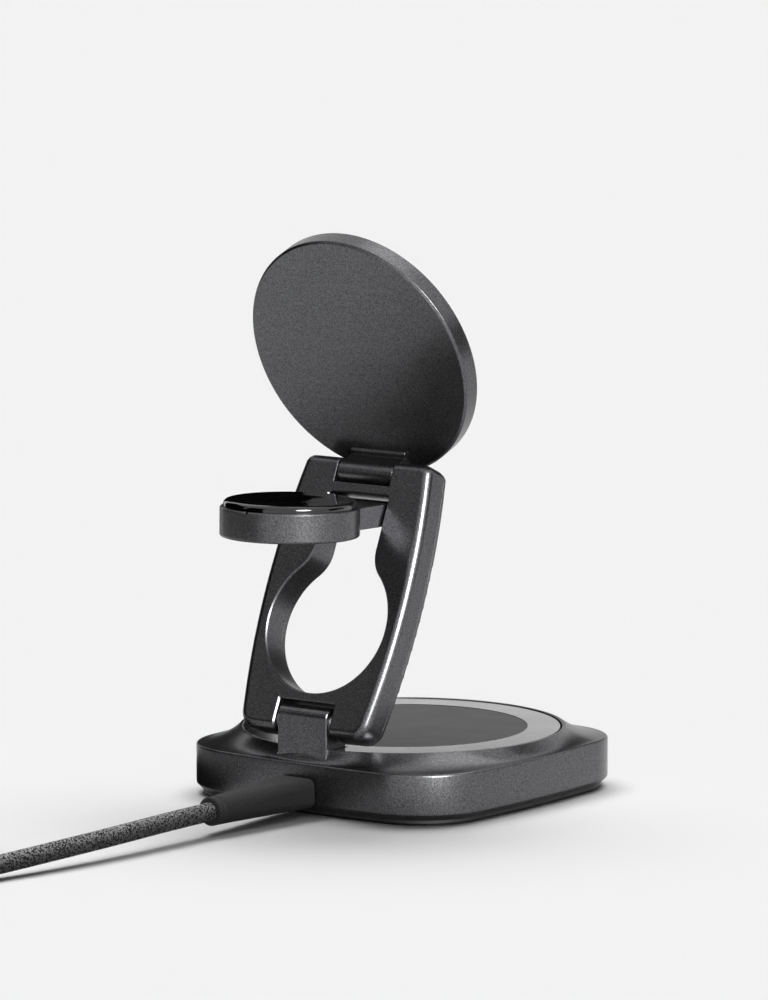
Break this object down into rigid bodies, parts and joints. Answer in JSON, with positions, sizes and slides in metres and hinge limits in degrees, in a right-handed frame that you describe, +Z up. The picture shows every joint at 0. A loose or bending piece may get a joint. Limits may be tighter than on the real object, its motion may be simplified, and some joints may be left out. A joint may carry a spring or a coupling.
{
  "type": "folding three in one wireless charger",
  "caption": "Folding charging stand: rounded square base with an earbud pad, leaning arm, tilting magnetic phone disc, fold-out watch charger and a braided USB-C cord.",
  "frame": {"origin": "on the table, under the middle of the base's foot", "axes": "+Z up, +Y to the back where the cord leaves and the watch charger points, +X to the right seen from the front"},
  "size_m": [0.1106, 0.2252, 0.1308],
  "materials": {
    "anodised_aluminium": "satin bead-blasted, dark grey",
    "pad_surface": "soft matte",
    "phone_surface": "soft matte silicone",
    "foot_rubber": "matte",
    "bottom_plastic": "moulded",
    "steel": "machined",
    "ballast_iron": "zinc plated",
    "copper_wire": "enamelled litz",
    "ferrite": "sintered",
    "board": "solder mask",
    "chip_black": "moulded",
    "magnet_nickel": "nickel plated",
    "watch_gloss": "polished",
    "plug_black": "soft-touch moulded",
    "cord_braid": "woven heather braid",
    "tie_strap": "hook and loop"
  },
  "bodies": {
    "base": {"base_housing": "anodised_aluminium", "pad_ring": "anodised_aluminium", "pad_inlay": "pad_surface", "earbud_coil": "copper_wire", "earbud_ferrite": "ferrite", "bottom_plate": "bottom_plastic", "bottom_screws": "steel", "base_foot": "foot_rubber", "ballast_weight": "ballast_iron", "main_board": "board", "board_screws": "steel", "board_chips": "chip_black", "receptacle_shell": "steel", "receptacle_tongue": "bottom_plastic", "hinge_block": "anodised_aluminium", "block_screws": "steel", "near_plug": "plug_black", "near_plug_shell": "steel", "cord_tube": "cord_braid", "cord_coil": "cord_braid", "cord_tie": "tie_strap", "far_plug": "plug_black", "far_plug_shell": "steel"},
    "arm": {"arm_frame": "anodised_aluminium", "arm_cover": "anodised_aluminium", "arm_lead": "bottom_plastic", "arm_hinge_pin": "steel", "watch_hinge_pin": "steel", "disc_hinge_pin": "steel", "hinge_washers": "steel"},
    "phone_disc": {"disc_shell": "anodised_aluminium", "disc_cover": "phone_surface", "magnet_ring": "magnet_nickel", "phone_ferrite": "ferrite", "phone_coil": "copper_wire", "disc_tab": "anodised_aluminium", "tab_screws": "steel"},
    "watch_puck": {"watch_cup": "anodised_aluminium", "watch_head": "watch_gloss", "watch_ferrite": "ferrite", "watch_coil": "copper_wire", "watch_magnet": "magnet_nickel"}
  },
  "joints": [
    {"name": "arm_fold", "type": "hinge", "parent": "base", "child": "arm", "pos_m": [0, 0.03435, 0.0204], "axis": [1, 0, 0], "range_deg": [0, 64]},
    {"name": "disc_fold", "type": "hinge", "parent": "arm", "child": "phone_disc", "pos_m": [0, 0.01175, 0.07474], "axis": [-1, 0, 0], "range_deg": [0, 134.5]},
    {"name": "puck_fold", "type": "hinge", "parent": "arm", "child": "watch_puck", "pos_m": [0, 0.01449, 0.0665], "axis": [-1, 0, 0], "range_deg": [0, 67.6]}
  ],
  "couplings": [
    {"joint": "puck_fold", "follows": "disc_fold", "ratio": 0.50186}
  ]
}
